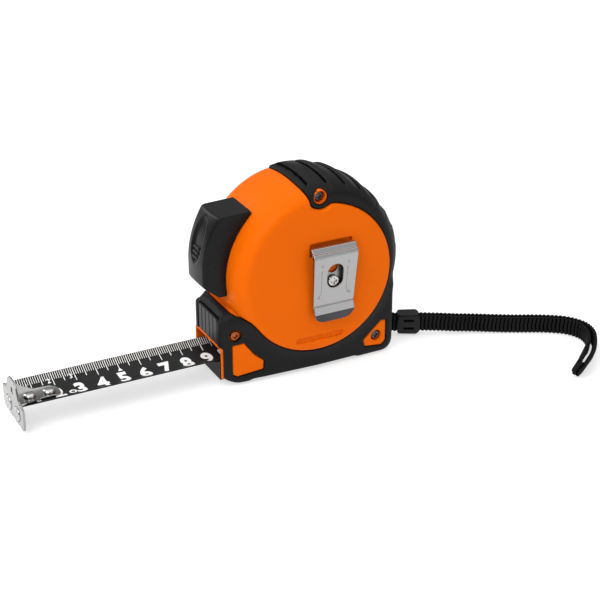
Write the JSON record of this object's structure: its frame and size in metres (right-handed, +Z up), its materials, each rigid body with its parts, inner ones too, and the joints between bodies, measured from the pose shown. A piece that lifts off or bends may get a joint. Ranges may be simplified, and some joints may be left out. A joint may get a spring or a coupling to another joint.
{
  "type": "tape measure",
  "caption": "Pocket tape measure with clamshell case, spring reel, curved steel blade, riveted magnetic end hook, thumb lock, belt clip and wrist strap.",
  "frame": {"origin": "on the base plane, straight below the reel axis and midway between the side faces", "axes": "+X from the nose to the rear wall, so the blade points to -X; -Y is the belt clip side; +Z up from the base"},
  "size_m": [0.2654, 0.1037, 0.0915],
  "materials": {
    "orange_shell": "satin moulded plastic",
    "rubber_jacket": "matt overmoulded rubber",
    "black_plastic": "satin black plastic",
    "blade_steel": "matt black with white print",
    "nickel": "bright nickel plate",
    "clip_steel": "satin spring steel",
    "spring_steel": "blued spring steel",
    "dark_steel": "black oxide",
    "copper_steel": "copper coloured plate",
    "magnet": "plated magnet",
    "reel_plastic": "natural moulded plastic",
    "webbing": "ribbed woven webbing"
  },
  "bodies": {
    "case": {"clip_side_case_half": "orange_shell", "back_side_case_half": "orange_shell", "clip_side_rubber_jacket": "rubber_jacket", "back_side_rubber_jacket": "rubber_jacket", "nose_panel": "black_plastic", "mouth_lip": "black_plastic", "front_case_screw": "copper_steel", "top_case_screw": "dark_steel", "rear_case_screw": "dark_steel", "clip_screw": "nickel", "clip_base": "clip_steel", "spring_arbor": "dark_steel", "strap_pin": "dark_steel", "blade_root": "blade_steel", "wrist_strap": "webbing"},
    "blade": {"blade": "blade_steel", "hook_rivet_1": "nickel", "hook_rivet_2": "nickel"},
    "hook": {"end_hook": "nickel", "hook_magnet_1": "magnet", "hook_magnet_2": "magnet"},
    "reel": {"reel_drum": "reel_plastic", "reel_cover": "reel_plastic", "tape_coil": "blade_steel", "power_spring": "spring_steel"},
    "lock": {"lock_button": "black_plastic", "lock_wedge": "reel_plastic"},
    "clip": {"clip_arm": "clip_steel"},
    "slider": {"strap_slider": "black_plastic"}
  },
  "joints": [
    {"name": "blade_slide", "type": "slide", "parent": "case", "child": "blade", "axis": [1, 0, 0], "range_m": [0, 0.089], "deforming": ["blade_root"]},
    {"name": "hook_play", "type": "slide", "parent": "blade", "child": "hook", "axis": [-1, 0, 0], "range_m": [0, 0.001]},
    {"name": "reel_spin", "type": "hinge", "parent": "case", "child": "reel", "pos_m": [0, 0, 0.0484], "axis": [0, 1, 0], "range_deg": [-180, 5], "deforming": ["power_spring"]},
    {"name": "lock_slide", "type": "hinge", "parent": "case", "child": "lock", "pos_m": [0, 0, 0.0484], "axis": [0, 1, 0], "range_deg": [0, 6]},
    {"name": "clip_flex", "type": "hinge", "parent": "case", "child": "clip", "pos_m": [0.0048, -0.02215, 0.0576], "axis": [-1, 0, 0], "range_deg": [0, 6], "stiffness_Nm_per_rad": 2},
    {"name": "slider_slide", "type": "slide", "parent": "case", "child": "slider", "axis": [0.8984, -0.4392, 0], "range_m": [0, 0.01]}
  ],
  "couplings": [
    {"joint": "reel_spin", "follows": "blade_slide", "rad_per_m": -33.78}
  ]
}
